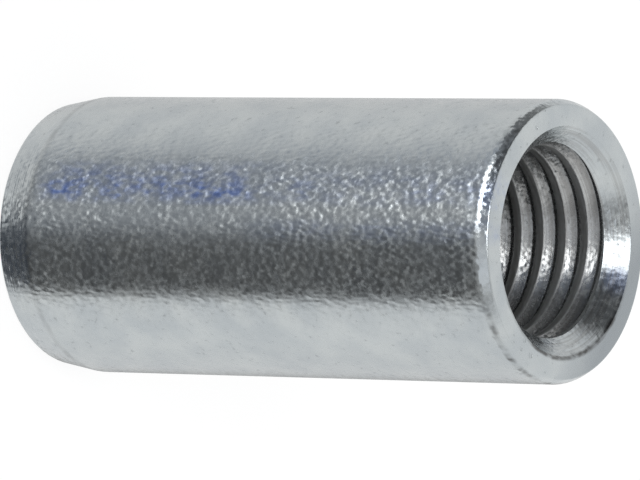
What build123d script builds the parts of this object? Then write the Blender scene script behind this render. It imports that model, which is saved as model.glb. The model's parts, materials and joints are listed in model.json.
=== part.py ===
"""Round coupling nut for M16 threaded rod: one steel sleeve, turned from round bar.

It is tapped M16 x 2 from end to end, and a rod screws in from each end to join the two.
Millimetres. The sleeve stands on its tapered end: Z is the axis of the thread, and the
origin is the centre of the lower end face.
"""

import os
from math import radians, tan

from build123d import *

# The sleeve, over its two end faces.
length = 45.0
outer_diameter = 21.0

# Lower end: a long, shallow taper, so that the sleeve finds its way into a hole.
taper_length = 3.0
taper_angle = 10.0  # from the axis
taper_blend_radius = 2.0  # the soft line where the taper runs out into the cylinder

# Upper end: a short edge break, left by the parting tool.
edge_break_length = 0.7
edge_break_angle = 30.0  # from the axis
edge_break_blend_radius = 0.6

# Both end faces meet the outside in a corner that the plating rounds over.
corner_radius = 0.2

# The thread, M16 x 2. The hole is drawn at its crests, which is the size it is bored to.
thread_diameter = 16.0
core_diameter = 14.2

# A countersink at each mouth starts the rod. It stands a little outside the thread.
countersink_angle = 90.0
countersink_margin = 0.55  # from the root of the thread to the edge of the mouth

# Worked out from the sizes above.
outer_radius = outer_diameter / 2
lower_face_radius = outer_radius - taper_length * tan(radians(taper_angle))
upper_face_radius = outer_radius - edge_break_length * tan(radians(edge_break_angle))
mouth_radius = thread_diameter / 2 + countersink_margin


with BuildPart() as coupling_nut:
    # The bar, turned to its outer profile: half of its section, from the lower end face up.
    with BuildSketch(Plane.XZ):
        with BuildLine():
            outline = FilletPolyline(
                (0, 0),
                (lower_face_radius, 0),
                (outer_radius, taper_length),
                (outer_radius, length - edge_break_length),
                (upper_face_radius, length),
                (0, length),
                radius=[
                    corner_radius,
                    taper_blend_radius,
                    edge_break_blend_radius,
                    corner_radius,
                ],
            )
            Line(outline @ 1, outline @ 0)
        make_face()
    revolve(axis=Axis.Z)

    # Bored through for the tap, and countersunk from each end.
    lower_face = coupling_nut.faces().sort_by(Axis.Z)[0]
    upper_face = coupling_nut.faces().sort_by(Axis.Z)[-1]
    with Locations(lower_face, upper_face):
        CounterSinkHole(
            radius=core_diameter / 2,
            counter_sink_radius=mouth_radius,
            counter_sink_angle=countersink_angle,
        )

coupling_nut.part.label = "coupling_nut"

os.makedirs("parts", exist_ok=True)
export_step(coupling_nut.part, "parts/coupling_nut.step")
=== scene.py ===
"""Round coupling nut: the looks of the zinc-plated steel sleeve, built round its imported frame.

The sleeve is turned from round bar, tapped right through and plated. It stands on its
tapered end, with Z along the thread and the origin in the centre of the lower end face.
Sizes here are in millimetres, and become metres where they go into Blender. A bearing is
degrees round the sleeve, from -Y towards -X.
"""

import json
from math import cos, pi, radians, sin, tan

import bpy
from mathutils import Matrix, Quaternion, Vector


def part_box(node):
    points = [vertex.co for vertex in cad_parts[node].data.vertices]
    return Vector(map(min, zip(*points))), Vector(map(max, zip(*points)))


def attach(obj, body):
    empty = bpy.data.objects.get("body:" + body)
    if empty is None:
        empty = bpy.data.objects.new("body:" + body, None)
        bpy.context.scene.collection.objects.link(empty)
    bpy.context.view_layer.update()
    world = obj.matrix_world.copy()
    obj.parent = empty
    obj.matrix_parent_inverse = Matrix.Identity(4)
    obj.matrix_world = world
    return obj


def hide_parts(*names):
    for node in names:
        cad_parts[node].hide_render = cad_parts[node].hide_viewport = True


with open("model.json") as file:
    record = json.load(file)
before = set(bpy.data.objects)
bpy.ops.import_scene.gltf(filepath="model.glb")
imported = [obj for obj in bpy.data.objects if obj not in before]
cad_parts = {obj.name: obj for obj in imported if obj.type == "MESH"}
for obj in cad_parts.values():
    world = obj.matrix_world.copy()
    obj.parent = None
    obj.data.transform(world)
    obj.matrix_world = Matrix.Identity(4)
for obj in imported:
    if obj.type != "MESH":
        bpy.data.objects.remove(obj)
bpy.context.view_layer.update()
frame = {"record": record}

MM = 0.001

# The sizes that the frame gives.
low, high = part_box("coupling_nut")
length = (high.z - low.z) / MM
outer_radius = (high.x - low.x) / 2 / MM
thread_mount = next(m for m in frame["record"]["mounts"] if m["name"] == "thread")
core_radius = thread_mount["dims"]["r_mm"]

# The outer profile, as it is turned.
taper_length = 3.0
taper_angle = 10.0
taper_blend = 2.0
edge_break_length = 0.7
edge_break_angle = 30.0
edge_break_blend = 1.1  # the barrel leaves it softer than the tool does
corner_round = 0.2

# The thread, M16 x 2, and the countersinks that start the rod.
thread_pitch = 2.0
thread_crest_width = 0.6
thread_depth = 0.7  # zinc fills the root, and the flanks read as 45 degrees
thread_round = 0.1
root_round = 0.2
root_radius = core_radius + thread_depth
crest_height = 1.3  # where a crest passes the +X side
overrun = 4.0  # how far the tap goes past each end
mouth_radius = 8.55
mouth_round = 0.08
blank_bore_radius = 6.8  # before the tap takes it out to the crests
cone_depth = mouth_radius - blank_bore_radius  # at 45 degrees, as deep as it is wide

# Small dents. On the side, each is its bearing, height, width and depth.
side_dents = (
    (17.5, 23.4, 0.75, 0.02),
    (13.7, 36.6, 0.5, 0.016),
    (9.6, 37.7, 0.45, 0.016),
    (12.6, 18.9, 0.35, 0.014),
    (20.8, 28.1, 0.35, 0.014),
    (17.6, 32.2, 0.4, 0.016),
    (20.2, 39.7, 0.35, 0.016),
    (-0.4, 41.6, 0.4, 0.016),
)
# On the upper end face, each is x, y, width and depth.
face_dents = (
    (-8.30, -4.09, 0.35, 0.07),
    (-9.64, -3.09, 0.35, 0.06),
    (7.22, -5.18, 0.4, 0.06),
    (8.31, -4.37, 0.5, 0.08),
    (7.85, -5.60, 0.35, 0.05),
)

# How finely the mesh is divided, and which of its points are merged.
steps_per_turn = 96
longest_facet = 1.5
blank_arc_steps = 5
thread_arc_steps = 3
ball_divisions = 5
crease_angle = 28.0  # in degrees; a sharper edge than this stays sharp
weld = 0.0005  # closes the seams of a swept shell
sliver_weld = 0.002  # takes out the slivers that the cut leaves

# The named sizes that the sleeve's tree takes.
tap_start = crest_height - overrun
tap_turns = int((length + 2 * overrun) / thread_pitch) + 1
sleeve_sizes = {
    "Length": length,
    "Outer radius": outer_radius,
    "Lower face radius": outer_radius - taper_length * tan(radians(taper_angle)),
    "Upper face radius": outer_radius - edge_break_length * tan(radians(edge_break_angle)),
    "Taper height": taper_length,
    "Edge break height": length - edge_break_length,
    "Taper blend": taper_blend,
    "Edge break blend": edge_break_blend,
    "Corner round": corner_round,
    "Mouth radius": mouth_radius,
    "Mouth round": mouth_round,
    "Blank bore radius": blank_bore_radius,
    "Lower cone height": cone_depth,
    "Upper cone height": length - cone_depth,
    "Longest facet": longest_facet,
    "Core radius": core_radius,
    "Root radius": root_radius,
    "Pitch": thread_pitch,
    "Crest middle": tap_start,
    "Groove foot": tap_start + thread_crest_width / 2,
    "Groove middle": tap_start + thread_pitch / 2,
    "Groove top": tap_start + thread_pitch - thread_crest_width / 2,
    "Next crest middle": tap_start + thread_pitch,
    "Thread round": thread_round,
    "Root round": root_round,
    "Tap middle": length / 2,
    "Tap reach": length / 2 + 3 * overrun,
}

# The plating's relief. The depths after the grain's own are shares of it.
grain_depth = 0.051
grain_cross = 0.2  # the slopes round the sleeve, as a share of those along it
edge_roughening = 0.6  # how much deeper the grain is on the edge break
ding_depth = 0.5
turning_depth = 0.45
worn_depth = 0.02  # what the barrel leaves of the turning marks
mark_width = 0.22
mark_length = 5.0  # how far a mark runs round
flank_lean = 0.035  # how far the flanks' normals lean off a true thread's
mouth_lean = 0.15  # and one side of the countersink's off a true cone's

# Its shine. Little of the barrel's burnishing reaches the thread.
land_dullness = 0.2
bore_dullness = 0.01
bore_metal = 0.84

# Where the passivation film is thick, in bearings and in the mouth.
film_from = 12.0
film_to = 33.0
blue_spot = (2.9, 7.5, length - 0.6)

# The way in which the upper end face is painted darker towards one side, as painted shade, and
# how strongly oil and tools streak the thread and the countersinks.
painted_shade_way = (0.57, 0.82, 0.0)
thread_streaks = 0.42
mouth_streaks = 0.2

# The painted shade lines along the edges are darkest within this part of their half width.
line_core = 0.3

# The finish's patterns: the measure that each is laid over, its size and its detail.
patterns = {
    # The real grain is under 0.1 mm wide, and is drawn coarser so that it shows.
    "long grain": ("drawn out", 0.3, 0.0),
    "fine grain": ("place", 0.24, 0.0),
    # Patches where the grain is deeper, and the dings that the barrel leaves.
    "patches": ("place", 2.5, 1.0),
    "dings": ("place", 0.7, 1.0),
    # The tool moves on about 0.1 mm in a turn. Its marks, and the streaks that follow them,
    # are drawn coarser too.
    "turning": ("marks", mark_width, 1.0),
    "streaks": ("marks", 0.35, 1.0),
    # Dull spots and pits of 0.1 to 0.2 mm, drawn coarser so that they show.
    "mottle": ("place", 0.45, 2.0),
    "pits": ("place", 0.45, 1.0),
    # Smudges in the plating, and how the film breaks up into blotches and flecks.
    "smudges": ("place", 3.0, 3.0),
    "film": ("drawn out", 1.6, 2.0),
    "flecks": ("drawn out", 0.5, 1.0),
    # How the painted shade lines along the edges wander, break off and thin out.
    "wander": ("place", 0.9, 2.0),
    "gaps": ("place", 0.8, 1.0),
    "thinning": ("place", 1.3, 2.0),
}
# The finish's shares: the measure or pattern that each follows, where on it the change
# starts and ends, and the share before and after.
shares = {
    # The grain is deeper in patches, towards both ends and in the thread, and shallower on
    # the upper face.
    "long grain": ("long grain", (0.0, 1.0), (-0.5, 0.5)),
    "fine grain": ("fine grain", (0.0, 1.0), (-0.5, 0.5)),
    "fine grain's part": ("radius", (mouth_radius - 0.1, mouth_radius), (0.4, 0.1)),
    "grain patches": ("patches", (0.35, 0.7), (0.7, 1.4)),
    "upper grain": ("height", (22.0, 30.0), (0.95, 1.25)),
    "lower grain": ("height", (5.0, 12.0), (1.35, 1.0)),
    "inner grain": ("height", (taper_length, length - 2.0), (1.1, 0.6)),
    "thread grain": ("radius", (core_radius + 0.8, core_radius + 1.0), (1.2, 1.0)),
    # The outside, and the edge break, which the barrel dings.
    "outside": ("radius", (outer_radius - 0.15, outer_radius - 0.02), (0.0, 1.0)),
    "near the top": ("height", (length - 0.8, length - 0.6), (0.0, 1.0)),
    "past the face": ("radius", (9.9, 10.0), (0.0, 1.0)),
    "dings": ("dings", (0.48, 0.68), (0.0, 1.0)),
    # The barrel wears the turning marks off the outside, and less off the rest.
    "turning": ("turning", (0.0, 1.0), (-0.5, 0.5)),
    "worn past the taper": ("height", (2.6, 3.6), (0.0, 0.6)),
    "worn above": ("height", (length / 2, length - 2.0), (0.0, 0.5)),
    # The bore between its two mouths, and the flat side of a mouth.
    "between mouths": ("from middle", (length / 2 - 1.6, length / 2 - 1.4), (1.0, 0.0)),
    "flat side": ("x", (5.5, 7.0), (0.0, mouth_lean)),
    # The dull spots, and how dull the thread's crests are against its flanks.
    "dullness": ("mottle", (0.3, 0.7), (0.14, 0.32)),
    "thread dullness": (
        "radius",
        (core_radius + 0.02, core_radius + 0.12),
        (land_dullness, bore_dullness),
    ),
    # The film: a long patch, a faint strip beside it and a spot in the mouth.
    "patch start": ("bearing", (film_from, film_from + 5.0), (0.0, 1.0)),
    "patch end": ("bearing", (film_to - 14.0, film_to), (1.0, 0.0)),
    "patch upwards": ("height", (21.0, 30.0), (1.0, 0.35)),
    "strip start": ("bearing", (-3.0, 1.0), (0.0, 1.0)),
    "strip end": ("bearing", (5.0, 9.0), (1.0, 0.0)),
    "strip upwards": ("height", (22.0, 28.0), (0.0, 0.22)),
    "spot": ("from spot", (0.5, 1.4), (0.4, 0.0)),
    "clear of the taper": ("height", (3.2, 5.0), (0.0, 1.0)),
    "blotches": ("film", (0.34, 0.56), (0.15, 1.0)),
    "flecks": ("flecks", (0.38, 0.62), (1.0, 0.3)),
    # The zinc's own greys, and painted shade on one side of the upper end face and down in the
    # thread's roots.
    "smudges": ("smudges", (0.35, 0.65), (0.0, 1.0)),
    "pits": ("pits", (0.68, 0.76), (0.0, 0.28)),
    "upper face": ("height", (length - 0.15, length - 0.02), (0.0, 1.0)),
    # Painted shade: the upper end face is tinted darker towards one side.
    "painted shade side": ("along painted shade way", (4.5, 8.5), (0.0, 1.0)),
    # Painted shade: the thread's colour darkens from near its crests down to its roots.
    "roots": ("radius", (core_radius + 0.1, root_radius - 0.1), (0.0, 0.8)),
    "streaks": ("streaks", (0.42, 0.62), (0.0, 1.0)),
    "sheltered": ("radius", (root_radius, mouth_radius), (thread_streaks, mouth_streaks)),
    # Where the painted shade lines along the edges are kept.
    "wander": ("wander", (0.0, 1.0), (-0.5, 0.5)),
    "gaps": ("gaps", (0.4, 0.6), (0.25, 1.0)),
    "thinning": ("thinning", (0.36, 0.6), (0.25, 0.85)),
    "edge towards +X": ("bearing", (-32.0, -14.0), (1.0, 0.0)),
    "mouth towards +X": ("x", (2.0, 6.0), (0.0, 1.0)),
}
# The edges that take a dark line of painted shade: the measure and its value there, how far the
# line wanders, half its width, how dark it is, and the shares that thin it.
painted_shade_edges = (
    ("height", taper_length, 0.35, 0.4, 0.3, ()),
    (
        "height",
        length - edge_break_length,
        0.35,
        0.3,
        1.0,
        ("gaps", "edge towards +X", "past the face"),
    ),
    ("radius", mouth_radius, 0.25, 0.26, 1.0, ("mouth towards +X",)),
)

# The tent's bands of cloth, from the foot to the crown. Along a band one tone runs into the
# next, and each is given as its bearing, its brightness and how blue it is.
tent_bands = {
    "foot": (
        (-180, 1.0, 0),
        (-74, 1.0, 0),
        (-64, 0.09, 0.2),
        (4, 0.09, 0.2),
        (20, 1.0, 0),
        (48, 1.1, 0),
        (62, 0.8, 0),
        (180, 0.95, 0),
    ),
    "far below": (
        (-180, 1.0, 0),
        (-66, 1.0, 0),
        (-56, 0.09, 0.2),
        (26, 0.09, 0.2),
        (40, 0.6, 0),
        (52, 0.8, 0),
        (180, 0.95, 0),
    ),
    "below": (
        (-180, 0.42, 0),
        (-166, 0.45, 0),
        (-148, 0.84, 0),
        (-132, 0.92, 0),
        (-110, 0.97, 0),
        (-92, 1.02, 0),
        (-54.5, 1.02, 0),
        (-50, 0.09, 0),
        (-8, 0.13, 0),
        (4, 0.22, 0.08),
        (10, 0.36, 0.06),
        (30, 0.39, 0.06),
        (50, 0.33, 0.1),
        (64, 0.4, 0.08),
        (75, 0.7, 0.02),
        (88, 0.84, 0),
        (104, 0.89, 0),
        (120, 0.86, 0),
        (145, 0.76, 0),
        (180, 0.7, 0),
    ),
    "rim": (
        (-180, 1.0, 0),
        (-58, 1.0, 0),
        (-50, 0.4, 0),
        (0, 0.4, 0),
        (12, 1.2, 0),
        (56, 1.2, 0),
        (66, 0.4, 0.2),
        (85, 0.6, 0),
        (115, 0.9, 0),
        (180, 0.95, 0),
    ),
    "level": (
        (-180, 1.0, 0),
        (-62, 1.0, 0),
        (-50, 0.5, 0),
        (-42, 0.55, 0),
        (-34, 0.95, 0.04),
        (-22, 0.95, 0.04),
        (-8, 0.7, 0.04),
        (5, 0.6, 0),
        (20, 0.4, 0.1),
        (50, 0.35, 0.1),
        (64, 0.2, 0.1),
        (122, 0.2, 0),
        (136, 0.9, 0),
        (180, 0.95, 0),
    ),
    "middle": (
        (-180, 1.0, 0),
        (-62, 1.0, 0),
        (-50, 0.5, 0),
        (-42, 0.55, 0),
        (-34, 0.95, 0.04),
        (-22, 0.95, 0.04),
        (-8, 0.7, 0.04),
        (5, 0.55, 0),
        (20, 0.3, 0.2),
        (44, 0.25, 0.2),
        (56, 0.09, 0.1),
        (106, 0.11, 0),
        (121, 0.9, 0),
        (180, 1.0, 0),
    ),
    "top": (
        (-180, 0.95, 0),
        (-58, 0.95, 0),
        (-50, 0.3, 0),
        (5, 0.3, 0),
        (40, 0.15, 0.3),
        (60, 0.15, 0),
        (105, 0.15, 0),
        (120, 0.9, 0),
        (180, 0.95, 0),
    ),
    "crown": ((-180, 0.8, 0), (180, 0.8, 0)),
}
# The elevations between which each band gives way to the next.
tent_seams = ((-64, -57), (-56, -44), (-34, -23), (-12, -4), (12, 18), (46, 56), (57, 63))

# The softboxes: the bearing and elevation of each, its width and height as the sleeve sees
# them, all in degrees, and its radiance.
softboxes = {
    "overhead_softbox": (16, 58, 19.5, 26, 4.0),
    "side_softbox": (34, -2, 44, 25, 5.0),
}
softbox_distance = 600.0

# The floor, a hair below the sleeve so that the two don't share a plane.
floor_half = 3000.0
floor_drop = 0.05

# The camera.
sensor_width = 36.0
focal_length = 471.5
camera_aim = (0.16, 0.0, 22.72)
camera_distance = 627.75
camera_elevation = 35.86
camera_roll = 90.957  # so that the sleeve lies across the view


def node(tree, kind, inputs=None, cases=0, **settings):
    """A new node of that kind, with its settings, and its inputs set or linked.

    A node that is given as an input stands for its first output in use. An index switch has
    two cases, and is given more here.
    """
    made = tree.nodes.new(kind)
    for name, value in settings.items():
        setattr(made, name, value)
    for _ in range(2, cases):
        made.index_switch_items.new()
    for key, value in (inputs or {}).items():
        if isinstance(value, bpy.types.Node):
            value = next(socket for socket in value.outputs if socket.enabled)
        if isinstance(value, bpy.types.NodeSocket):
            tree.links.new(value, made.inputs[key])
        else:
            made.inputs[key].default_value = value
    return made


def linear(hex_colour):
    """An sRGB colour such as "#BEC3C6", as the linear RGBA that the shaders take."""
    parts = [int(hex_colour[i : i + 2], 16) / 255 for i in (1, 3, 5)]
    return [c / 12.92 if c <= 0.04045 else ((c + 0.055) / 1.055) ** 2.4 for c in parts] + [1.0]


def direction(bearing, elevation):
    """The unit vector that way, with the elevation in degrees above the floor."""
    b, e = radians(bearing), radians(elevation)
    return Vector((-sin(b) * cos(e), -cos(b) * cos(e), sin(e)))


def bearing_of(tree, vector):
    """The bearing in which the vector points, in degrees."""
    back = node(tree, "ShaderNodeVectorMath", {0: vector, "Scale": -1.0}, operation="SCALE")
    axes = node(tree, "ShaderNodeSeparateXYZ", {0: back}).outputs
    turn = node(tree, "ShaderNodeMath", {0: axes["X"], 1: axes["Y"]}, operation="ARCTAN2")
    return node(tree, "ShaderNodeMath", {0: turn}, operation="DEGREES")


# ---------------------------------------------------------------- the sleeve


def marked_points(tree, places, sizes):
    """A point at each place, and the field that gives each point its own size."""
    index = node(tree, "GeometryNodeInputIndex")
    place, size = [
        node(
            tree,
            "GeometryNodeIndexSwitch",
            dict(enumerate([index, *values])),
            cases=len(values),
            data_type=data_type,
        )
        for data_type, values in (("VECTOR", places), ("FLOAT", sizes))
    ]
    points = node(tree, "GeometryNodePoints", {"Count": len(places), "Position": place})
    return points, size


def section(tree, corners, closed, arc_steps):
    """The section's outline through its corners, each given as (radius, height, rounding)."""
    radii, heights, roundings = zip(*corners)
    places = [
        node(tree, "ShaderNodeCombineXYZ", {"X": radius, "Z": height})
        for radius, height in zip(radii, heights)
    ]
    points, rounding = marked_points(tree, places, roundings)
    run = node(tree, "GeometryNodePointsToCurves", {"Points": points})
    loop = node(tree, "GeometryNodeSetSplineCyclic", {"Geometry": run, "Cyclic": closed})
    return node(
        tree,
        "GeometryNodeFilletCurve",
        {"Curve": loop, "Count": arc_steps, "Radius": rounding},
        mode="POLY",
    )


def divide_runs(tree, curve, longest):
    """The curve, with its long runs divided, so that no facet is longer than that."""
    here = node(tree, "GeometryNodeInputPosition")
    following = node(tree, "GeometryNodeOffsetPointInCurve", {"Offset": 1})
    there = node(
        tree,
        "GeometryNodeFieldAtIndex",
        {"Index": following.outputs["Point Index"], "Value": here},
        data_type="FLOAT_VECTOR",
    )
    run = node(tree, "ShaderNodeVectorMath", {0: here, 1: there}, operation="DISTANCE")
    cuts = node(tree, "ShaderNodeMath", {0: run, 1: longest}, operation="DIVIDE")
    whole = node(tree, "FunctionNodeFloatToInt", {0: cuts}, rounding_mode="FLOOR")
    return node(tree, "GeometryNodeSubdivideCurve", {"Curve": curve, "Cuts": whole})


def swept(tree, curve, closed, turns, climb):
    """The section carried round Z that many times, rising by climb in each turn."""
    tally = node(tree, "GeometryNodeAttributeDomainSize", {"Geometry": curve}, component="CURVE")
    count = tally.outputs["Point Count"]
    rows = node(tree, "FunctionNodeIntegerMath", {0: count, 1: int(closed)}, operation="ADD")
    steps = turns * steps_per_turn + 1
    grid = node(tree, "GeometryNodeMeshGrid", {"Vertices X": steps, "Vertices Y": rows})
    # The grid's points are numbered step by step, and within a step along the section.
    index = node(tree, "GeometryNodeInputIndex")
    step = node(tree, "FunctionNodeIntegerMath", {0: index, 1: rows}, operation="DIVIDE_FLOOR")
    row = node(tree, "FunctionNodeIntegerMath", {0: index, 1: rows}, operation="MODULO")
    point = node(tree, "FunctionNodeIntegerMath", {0: row, 1: count}, operation="MODULO")
    outline = node(
        tree,
        "GeometryNodeSampleIndex",
        {"Geometry": curve, "Value": node(tree, "GeometryNodeInputPosition"), "Index": point},
        data_type="FLOAT_VECTOR",
    )
    turn = node(tree, "ShaderNodeMath", {0: step, 1: steps_per_turn}, operation="DIVIDE")
    angle = node(tree, "ShaderNodeMath", {0: turn, 1: 2 * pi}, operation="MULTIPLY")
    rise = node(tree, "ShaderNodeMath", {0: turn, 1: climb}, operation="MULTIPLY")
    swung = node(
        tree,
        "ShaderNodeVectorRotate",
        {"Vector": outline, "Angle": angle},
        rotation_type="Z_AXIS",
    )
    lift = node(tree, "ShaderNodeCombineXYZ", {"Z": rise})
    place = node(tree, "ShaderNodeVectorMath", {0: swung, 1: lift}, operation="ADD")
    shell = node(tree, "GeometryNodeSetPosition", {"Geometry": grid, "Position": place})
    return node(tree, "GeometryNodeMergeByDistance", {"Geometry": shell, "Distance": weld})


def capped(tree, shell, middle, reach):
    """The shell with each open end drawn to a point on the axis, reach from the middle."""
    sides = node(tree, "GeometryNodeInputMeshEdgeNeighbors")
    open_edge = node(
        tree, "FunctionNodeCompare", {2: sides, 3: 1}, data_type="INT", operation="EQUAL"
    )
    drawn = node(
        tree,
        "GeometryNodeExtrudeMesh",
        {"Mesh": shell, "Selection": open_edge, "Offset Scale": 0.0},
        mode="EDGES",
    )
    here = node(tree, "GeometryNodeInputPosition")
    height = node(tree, "ShaderNodeSeparateXYZ", {0: here}).outputs["Z"]
    above = node(tree, "ShaderNodeMath", {0: height, 1: middle}, operation="SUBTRACT")
    side = node(tree, "ShaderNodeMath", {0: above}, operation="SIGN")
    tip = node(tree, "ShaderNodeMath", {0: side, 1: reach, 2: middle}, operation="MULTIPLY_ADD")
    closed = node(
        tree,
        "GeometryNodeSetPosition",
        {
            "Geometry": drawn,
            "Selection": drawn.outputs["Top"],
            "Position": node(tree, "ShaderNodeCombineXYZ", {"Z": tip}),
        },
    )
    return node(tree, "GeometryNodeMergeByDistance", {"Geometry": closed, "Distance": weld})


def turned_blank(tree, size):
    """The bar, turned to its outer profile, bored for the tap and countersunk at both ends."""
    corners = [
        (size["Mouth radius"], 0.0, size["Mouth round"]),
        (size["Lower face radius"], 0.0, size["Corner round"]),
        (size["Outer radius"], size["Taper height"], size["Taper blend"]),
        (size["Outer radius"], size["Edge break height"], size["Edge break blend"]),
        (size["Upper face radius"], size["Length"], size["Corner round"]),
        (size["Mouth radius"], size["Length"], size["Mouth round"]),
        (size["Blank bore radius"], size["Upper cone height"], 0.0),
        (size["Blank bore radius"], size["Lower cone height"], 0.0),
    ]
    outline = section(tree, corners, True, blank_arc_steps)
    return swept(tree, divide_runs(tree, outline, size["Longest facet"]), True, 1, 0.0)


def tap(tree, size):
    """The tap. One pitch of it, from a crest of the thread to the next, follows the helix."""
    corners = [
        (size["Core radius"], size["Crest middle"], 0.0),
        (size["Core radius"], size["Groove foot"], size["Thread round"]),
        (size["Root radius"], size["Groove middle"], size["Root round"]),
        (size["Core radius"], size["Groove top"], size["Thread round"]),
        (size["Core radius"], size["Next crest middle"], 0.0),
    ]
    tooth = section(tree, corners, False, thread_arc_steps)
    helix = swept(tree, tooth, False, tap_turns, size["Pitch"])
    return capped(tree, helix, size["Tap middle"], size["Tap reach"])


def dent_balls(tree):
    """A ball for each dent, sunk into the skin by its depth and as wide there as the dent."""
    dents = [
        (Vector((0, 0, height)), direction(around, 0), outer_radius, width, depth)
        for around, height, width, depth in side_dents
    ]
    dents += [
        (Vector((x, y, 0)), Vector((0, 0, 1)), length, width, depth)
        for x, y, width, depth in face_dents
    ]
    middles = []
    radii = []
    for foot, outward, surface, width, depth in dents:
        radius = (width * width / 4 + depth * depth) / (2 * depth)
        middles.append(foot + outward * (surface + radius - depth))
        radii.append(radius)
    points, radius = marked_points(tree, middles, radii)
    ball = node(tree, "GeometryNodeMeshIcoSphere", {"Radius": 1.0, "Subdivisions": ball_divisions})
    balls = node(
        tree,
        "GeometryNodeInstanceOnPoints",
        {"Points": points, "Instance": ball, "Scale": radius},
    )
    return node(tree, "GeometryNodeRealizeInstances", {"Geometry": balls})


def sleeve_tree(material):
    """The tree that turns the blank, and cuts the thread and the dents out of it."""
    tree = bpy.data.node_groups.new("round coupling nut", "GeometryNodeTree")
    tree.interface.new_socket("Mesh", in_out="OUTPUT", socket_type="NodeSocketGeometry")
    for name in sleeve_sizes:
        tree.interface.new_socket(name, in_out="INPUT", socket_type="NodeSocketFloat")
    size = node(tree, "NodeGroupInput").outputs
    cut = node(
        tree,
        "GeometryNodeMeshBoolean",
        {"Mesh 1": turned_blank(tree, size), "Mesh 2": tap(tree, size)},
        operation="DIFFERENCE",
        solver="EXACT",
    )
    tree.links.new(dent_balls(tree).outputs["Geometry"], cut.inputs["Mesh 2"])
    angle = node(tree, "GeometryNodeInputMeshEdgeAngle").outputs["Unsigned Angle"]
    steep = node(
        tree,
        "FunctionNodeCompare",
        {0: angle, 1: radians(crease_angle)},
        data_type="FLOAT",
        operation="GREATER_THAN",
    )
    crease = node(
        tree,
        "FunctionNodeBooleanMath",
        {0: steep, 1: cut.outputs["Intersecting Edges"]},
        operation="OR",
    )
    smooth = node(tree, "GeometryNodeSetShadeSmooth", {0: cut}, domain="FACE")
    creased = node(
        tree,
        "GeometryNodeSetShadeSmooth",
        {0: smooth, "Selection": crease, "Shade Smooth": False},
        domain="EDGE",
    )
    clean = node(
        tree, "GeometryNodeMergeByDistance", {"Geometry": creased, "Distance": sliver_weld}
    )
    scaled = node(tree, "GeometryNodeTransform", {"Geometry": clean, "Scale": (MM, MM, MM)})
    whole = node(tree, "GeometryNodeRealizeInstances", {"Geometry": scaled})
    plated = node(tree, "GeometryNodeSetMaterial", {"Geometry": whole, "Material": material})
    node(tree, "NodeGroupOutput", {0: plated})
    return tree


def made_by(tree, sizes, name):
    """The plain mesh object that the tree makes with those sizes."""
    holder = bpy.data.objects.new(name + "_maker", bpy.data.meshes.new(name + "_maker"))
    bpy.context.collection.objects.link(holder)
    modifier = holder.modifiers.new("maker", "NODES")
    modifier.node_group = tree
    for item in tree.interface.items_tree:
        if item.in_out == "INPUT":
            modifier[item.identifier] = sizes[item.name]
    depsgraph = bpy.context.evaluated_depsgraph_get()
    mesh = bpy.data.meshes.new_from_object(holder.evaluated_get(depsgraph), depsgraph=depsgraph)
    mesh.name = name
    bpy.data.objects.remove(holder)
    piece = bpy.data.objects.new(name, mesh)
    bpy.context.collection.objects.link(piece)
    return piece


# ---------------------------------------------------------------- the finish


def measures(tree):
    """What the finish follows, from the piece's own coordinates, in millimetres or degrees."""
    here = node(tree, "ShaderNodeTexCoord").outputs["Object"]
    place = node(tree, "ShaderNodeVectorMath", {0: here, "Scale": 1 / MM}, operation="SCALE")
    axes = node(tree, "ShaderNodeSeparateXYZ", {0: place}).outputs
    out = node(tree, "ShaderNodeVectorMath", {0: place, 1: (1, 1, 0)}, operation="MULTIPLY")
    radius = node(tree, "ShaderNodeVectorMath", {0: out}, operation="LENGTH")
    above = node(tree, "ShaderNodeMath", {0: axes["Z"], 1: length / 2}, operation="SUBTRACT")
    # The grain is drawn out a little along the axis.
    stretch = (1.0, 1.0, 0.5)
    drawn_out = node(tree, "ShaderNodeVectorMath", {0: place, 1: stretch}, operation="MULTIPLY")
    # Turning marks run round the sleeve, one beside the other along its profile.
    squeeze = (mark_width / mark_length, mark_width / mark_length, 0.0)
    profile = node(
        tree, "ShaderNodeMath", {0: radius, 1: 2.0, 2: axes["Z"]}, operation="MULTIPLY_ADD"
    )
    beside = node(tree, "ShaderNodeCombineXYZ", {"Z": profile})
    marks = node(
        tree, "ShaderNodeVectorMath", {0: place, 1: squeeze, 2: beside}, operation="MULTIPLY_ADD"
    )
    spot = node(tree, "ShaderNodeVectorMath", {0: place, 1: blue_spot}, operation="DISTANCE")
    # How far along the way in which painted shade darkens the upper end face.
    across = node(tree, "ShaderNodeVectorMath", {0: place, 1: painted_shade_way}, operation="DOT_PRODUCT")
    return {
        "place": place,
        "x": axes["X"],
        "height": axes["Z"],
        "radius": radius,
        "bearing": bearing_of(tree, place),
        "from middle": node(tree, "ShaderNodeMath", {0: above}, operation="ABSOLUTE"),
        "from spot": spot,
        "along painted shade way": across,
        "drawn out": drawn_out,
        "marks": marks,
    }


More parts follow.
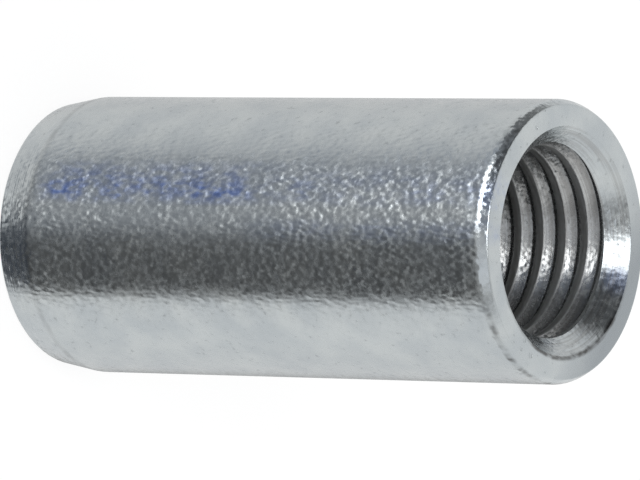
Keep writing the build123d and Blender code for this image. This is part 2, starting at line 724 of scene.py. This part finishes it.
def finish_shares(tree, place):
    """The shares that mask and scale the finish, by name. The patterns join the measures."""
    for name, (over, size, detail) in patterns.items():
        place[name] = node(
            tree,
            "ShaderNodeTexNoise",
            {"Vector": place[over], "Scale": 1 / size, "Detail": detail, "Roughness": 0.5},
        )
    share = {}
    for name, (measure, (start, end), (before, after)) in shares.items():
        share[name] = node(
            tree,
            "ShaderNodeMapRange",
            {
                "Value": place[measure],
                "From Min": start,
                "From Max": end,
                "To Min": before,
                "To Max": after,
            },
        )
    # Out to the thread's roots, to the mouths' edges, and a little short of those.
    for name, limit in (
        ("bored", root_radius),
        ("opening", mouth_radius),
        ("short of the edge", mouth_radius - 0.02),
    ):
        share[name] = node(
            tree, "ShaderNodeMath", {0: place["radius"], 1: limit}, operation="LESS_THAN"
        )
    # Where several shares meet.
    for name, factors in (
        ("thread", ("bored", "between mouths")),
        # The first two of these give painted shade: on one side of the upper end face and down in
        # the thread's roots.
        ("painted shade on face", ("upper face", "painted shade side")),
        ("painted shade in roots", ("roots", "thread")),
        ("streaked", ("streaks", "sheltered", "short of the edge")),
    ):
        share[name] = 1.0
        for factor in factors:
            share[name] = node(
                tree, "ShaderNodeMath", {0: share[name], 1: share[factor]}, operation="MULTIPLY"
            )
    share["mouth"] = node(
        tree, "ShaderNodeMath", {0: share["opening"], 1: share["thread"]}, operation="SUBTRACT"
    )
    return share


def skin_height(tree, share):
    """How far the skin stands up, as a share of the grain's depth."""
    inside = node(
        tree,
        "ShaderNodeMapRange",
        {"Value": share["outside"], "To Min": share["inner grain"], "To Max": 1.0},
    )
    edge = node(
        tree,
        "ShaderNodeMath",
        {0: share["near the top"], 1: share["past the face"]},
        operation="MULTIPLY",
    )
    edge_grain = node(
        tree, "ShaderNodeMath", {0: edge, 1: edge_roughening, 2: 1.0}, operation="MULTIPLY_ADD"
    )
    grain = node(
        tree,
        "ShaderNodeMath",
        {0: share["fine grain"], 1: share["fine grain's part"], 2: share["long grain"]},
        operation="MULTIPLY_ADD",
    )
    for depth in (
        share["grain patches"],
        share["upper grain"],
        share["lower grain"],
        share["thread grain"],
        inside,
        edge_grain,
    ):
        grain = node(tree, "ShaderNodeMath", {0: grain, 1: depth}, operation="MULTIPLY")
    # The barrel dings the edge break.
    knocked = node(tree, "ShaderNodeMath", {0: edge, 1: ding_depth}, operation="MULTIPLY")
    dinged = node(
        tree, "ShaderNodeMath", {0: share["dings"], 1: knocked, 2: grain}, operation="MULTIPLY_ADD"
    )
    # It also wears the turning marks down.
    worn = share["outside"]
    for name in ("worn past the taper", "worn above"):
        worn = node(tree, "ShaderNodeMath", {0: worn, 1: share[name]}, operation="MAXIMUM")
    left = node(
        tree,
        "ShaderNodeMath",
        {0: worn, 1: worn_depth - turning_depth, 2: turning_depth},
        operation="MULTIPLY_ADD",
    )
    return node(
        tree, "ShaderNodeMath", {0: share["turning"], 1: left, 2: dinged}, operation="MULTIPLY_ADD"
    )


def skin_normal(tree, share):
    """Which way the skin faces at each spot, with its relief and the faults of its cutting."""
    bumped = node(
        tree,
        "ShaderNodeBump",
        {"Height": skin_height(tree, share), "Strength": 1.0, "Distance": grain_depth * MM},
    )
    # Turning leaves steeper slopes along the axis than round it.
    even = node(tree, "ShaderNodeNewGeometry").outputs["Normal"]
    lean = node(tree, "ShaderNodeVectorMath", {0: bumped, 1: even}, operation="SUBTRACT")
    sides = (grain_cross, grain_cross, 1.0)
    turned = node(
        tree, "ShaderNodeVectorMath", {0: lean, 1: sides, 2: even}, operation="MULTIPLY_ADD"
    )
    # The tap cuts the flanks a little askew, and the cutter flattens one side of the mouth.
    flank = node(tree, "ShaderNodeMath", {0: share["thread"], 1: flank_lean}, operation="MULTIPLY")
    flat = node(
        tree, "ShaderNodeMath", {0: share["mouth"], 1: share["flat side"]}, operation="MULTIPLY"
    )
    askew = node(tree, "ShaderNodeCombineXYZ", {"X": flank, "Z": flat})
    leaned = node(tree, "ShaderNodeVectorMath", {0: turned, 1: askew}, operation="ADD")
    return node(tree, "ShaderNodeVectorMath", {0: leaned}, operation="NORMALIZE")


def film_share(tree, share):
    """How thick and blue the passivation film is: in a long patch, a faint strip and a spot."""
    film = 0.0
    for area in ("patch", "strip"):
        thick = 1.0
        for side in ("start", "end", "upwards"):
            fade = share[f"{area} {side}"]
            thick = node(tree, "ShaderNodeMath", {0: thick, 1: fade}, operation="MULTIPLY")
        film = node(tree, "ShaderNodeMath", {0: film, 1: thick}, operation="MAXIMUM")
    for name in ("blotches", "flecks", "clear of the taper"):
        film = node(tree, "ShaderNodeMath", {0: film, 1: share[name]}, operation="MULTIPLY")
    spot = node(
        tree, "ShaderNodeMath", {0: share["mouth"], 1: share["spot"]}, operation="MULTIPLY"
    )
    return node(tree, "ShaderNodeMath", {0: film, 1: spot}, operation="MAXIMUM")


def painted_edge_shade_share(tree, place, share):
    """Painted shade: dark lines along the top of the taper, the edge break and the mouth's edge,
    wandering and broken up.
    """
    painted_edge_shade = 0.0
    for measure, corner, sway, half, dark, thinned_by in painted_shade_edges:
        swayed = node(
            tree,
            "ShaderNodeMath",
            {0: share["wander"], 1: sway, 2: place[measure]},
            operation="MULTIPLY_ADD",
        )
        past = node(tree, "ShaderNodeMath", {0: swayed, 1: corner}, operation="SUBTRACT")
        gap = node(tree, "ShaderNodeMath", {0: past}, operation="ABSOLUTE")
        line = node(
            tree,
            "ShaderNodeMapRange",
            {
                "Value": gap,
                "From Min": half * line_core,
                "From Max": half,
                "To Min": dark,
                "To Max": 0.0,
            },
        )
        for name in thinned_by:
            line = node(tree, "ShaderNodeMath", {0: line, 1: share[name]}, operation="MULTIPLY")
        painted_edge_shade = node(tree, "ShaderNodeMath", {0: painted_edge_shade, 1: line}, operation="ADD")
    return node(
        tree, "ShaderNodeMath", {0: painted_edge_shade, 1: share["thinning"]}, operation="MULTIPLY"
    )


def zinc_plated_steel():
    """Bright zinc plating on turned steel, passivated clear to faintly blue.

    Barrel plating levels the turning marks to a fine grain, so the metal reflects clearly
    but with ragged edges and glints, and the thin passivation film leaves blue patches.
    """
    material = bpy.data.materials.new("zinc_plated_steel")
    material.use_nodes = True
    tree = material.node_tree
    tree.nodes.clear()

    place = measures(tree)
    share = finish_shares(tree, place)
    # Each layer tints what lies below it, from the clear zinc up. The thread is painted darker
    # down in its roots, as painted shade, and oil and tools streak the thread.
    colour = linear("#BEC3C4")
    for amount, tint in (
        (share["smudges"], "#B2B8BB"),
        (share["pits"], "#6E7274"),
        # Painted shade on one side of the upper end face.
        (share["painted shade on face"], "#989EA2"),
        (film_share(tree, share), "#778BBD"),
        (share["thread"], "#BBBDBD"),
        # Painted shade down in the thread's roots.
        (share["painted shade in roots"], "#7C7E7F"),
        (share["streaked"], "#7E7B78"),
        # Painted shade: dark lines along the top of the taper, the edge break and the mouth's
        # edge.
        (painted_edge_shade_share(tree, place, share), "#3F3D3B"),
    ):
        colour = node(
            tree, "ShaderNodeMix", {0: amount, 6: colour, 7: linear(tint)}, data_type="RGBA"
        )
    metal = node(
        tree,
        "ShaderNodeMath",
        {0: share["thread"], 1: bore_metal - 1.0, 2: 1.0},
        operation="MULTIPLY_ADD",
    )
    dullness = node(
        tree,
        "ShaderNodeMath",
        {0: share["thread"], 1: share["thread dullness"], 2: share["dullness"]},
        operation="MULTIPLY_ADD",
    )
    shader = node(
        tree,
        "ShaderNodeBsdfPrincipled",
        {
            "Base Color": colour,
            "Metallic": metal,
            "Roughness": dullness,
            "Normal": skin_normal(tree, share),
        },
    )
    node(tree, "ShaderNodeOutputMaterial", {"Surface": shader})
    return material


def white_paper():
    """Uncoated white backdrop paper: an even pale ground without shine, and a soft shadow."""
    material = bpy.data.materials.new("white_paper")
    material.use_nodes = True
    tree = material.node_tree
    tree.nodes.clear()
    path = node(tree, "ShaderNodeLightPath").outputs
    seen = 0.0
    for ray in ("Is Camera Ray", "Is Glossy Ray", "Is Transmission Ray"):
        seen = node(tree, "ShaderNodeMath", {0: seen, 1: path[ray]}, operation="MAXIMUM")
    glow = node(tree, "ShaderNodeEmission", {"Color": linear("#EDEDED"), "Strength": seen})
    paper = node(tree, "ShaderNodeBsdfDiffuse", {"Color": linear("#7C7C7C")})
    both = node(tree, "ShaderNodeAddShader", {0: paper, 1: glow})
    node(tree, "ShaderNodeOutputMaterial", {"Surface": both})
    return material


# ---------------------------------------------------------------- the studio


def softbox(name, middle, wide, tall, radiance):
    """A rectangular softbox that faces the sleeve, with its sizes seen as angles, in degrees."""
    distance = softbox_distance * MM
    lamp = bpy.data.lights.new(name, "AREA")
    lamp.shape = "RECTANGLE"
    lamp.size = 2 * distance * tan(radians(wide / 2))
    lamp.size_y = 2 * distance * tan(radians(tall / 2))
    lamp.energy = radiance * pi * lamp.size * lamp.size_y
    box = bpy.data.objects.new(name, lamp)
    bpy.context.collection.objects.link(box)
    box.location = Vector((0, 0, length * MM / 2)) + middle * distance
    box.rotation_euler = (-middle).to_track_quat("-Z", "Y").to_euler()
    box.visible_camera = False


def light_tent():
    """A white tent round the sleeve, with a dark opening on the camera's side.

    Steel shows what it mirrors, so the tones of the tent are laid out by direction.
    """
    world = bpy.data.worlds.new("light_tent")
    bpy.context.scene.world = world
    world.use_nodes = True
    tree = world.node_tree
    tree.nodes.clear()
    way = node(tree, "ShaderNodeTexCoord").outputs["Generated"]
    height = node(tree, "ShaderNodeSeparateXYZ", {0: way}).outputs["Z"]
    around = node(
        tree,
        "ShaderNodeMapRange",
        {"Value": bearing_of(tree, way), "From Min": -180.0, "From Max": 180.0},
    )
    cloths = []
    for tones in tent_bands.values():
        cloth = node(tree, "ShaderNodeValToRGB", {"Fac": around})
        stops = cloth.color_ramp.elements
        while len(stops) < len(tones):
            stops.new(0.5)
        for stop, (bearing, bright, blue) in zip(stops, tones):
            stop.position = bearing / 360 + 0.5
            stop.color = (bright * (1 - blue / 2), bright, bright * (1 + blue), 1.0)
        cloths.append(cloth)
    tone = cloths[0]
    for (start, end), cloth in zip(tent_seams, cloths[1:]):
        given_way = node(
            tree,
            "ShaderNodeMapRange",
            {"Value": height, "From Min": sin(radians(start)), "From Max": sin(radians(end))},
            interpolation_type="SMOOTHSTEP",
        )
        tone = node(tree, "ShaderNodeMix", {0: given_way, 6: tone, 7: cloth}, data_type="RGBA")
    tent = node(tree, "ShaderNodeBackground", {"Color": tone, "Strength": 1.0})
    white = node(tree, "ShaderNodeBackground", {"Color": linear("#FFFFFF"), "Strength": 1.0})
    seen = node(tree, "ShaderNodeLightPath").outputs["Is Camera Ray"]
    mixed = node(tree, "ShaderNodeMixShader", {0: seen, 1: tent, 2: white})
    node(tree, "ShaderNodeOutputWorld", {"Surface": mixed})


def studio_floor():
    """A plain pale floor, which takes the sleeve's shadow and stays out of the metal."""
    mesh = bpy.data.meshes.new("studio_floor")
    half = floor_half * MM
    corners = [
        (x * half, y * half, -floor_drop * MM) for x, y in ((-1, -1), (1, -1), (1, 1), (-1, 1))
    ]
    mesh.from_pydata(corners, [], [(0, 1, 2, 3)])
    mesh.materials.append(white_paper())
    floor = bpy.data.objects.new("studio_floor", mesh)
    bpy.context.collection.objects.link(floor)
    floor.visible_glossy = False
    floor.visible_shadow = False


def camera():
    """Looks down on the sleeve from the -Y side, turned so that the sleeve lies across."""
    data = bpy.data.cameras.new("camera")
    data.sensor_width = sensor_width
    data.lens = focal_length
    made = bpy.data.objects.new("camera", data)
    bpy.context.collection.objects.link(made)
    away = direction(0.0, camera_elevation)
    made.location = (Vector(camera_aim) + away * camera_distance) * MM
    made.rotation_mode = "QUATERNION"
    level = (-away).to_track_quat("-Z", "Y")
    made.rotation_quaternion = level @ Quaternion((0, 0, 1), radians(camera_roll))
    bpy.context.scene.camera = made


nut = made_by(sleeve_tree(zinc_plated_steel()), sleeve_sizes, "round_coupling_nut")
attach(nut, "root")
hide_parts("coupling_nut")

camera()
light_tent()
for name, (bearing, elevation, wide, tall, radiance) in softboxes.items():
    softbox(name, direction(bearing, elevation), wide, tall, radiance)
studio_floor()

bpy.context.scene.view_settings.view_transform = "Standard"
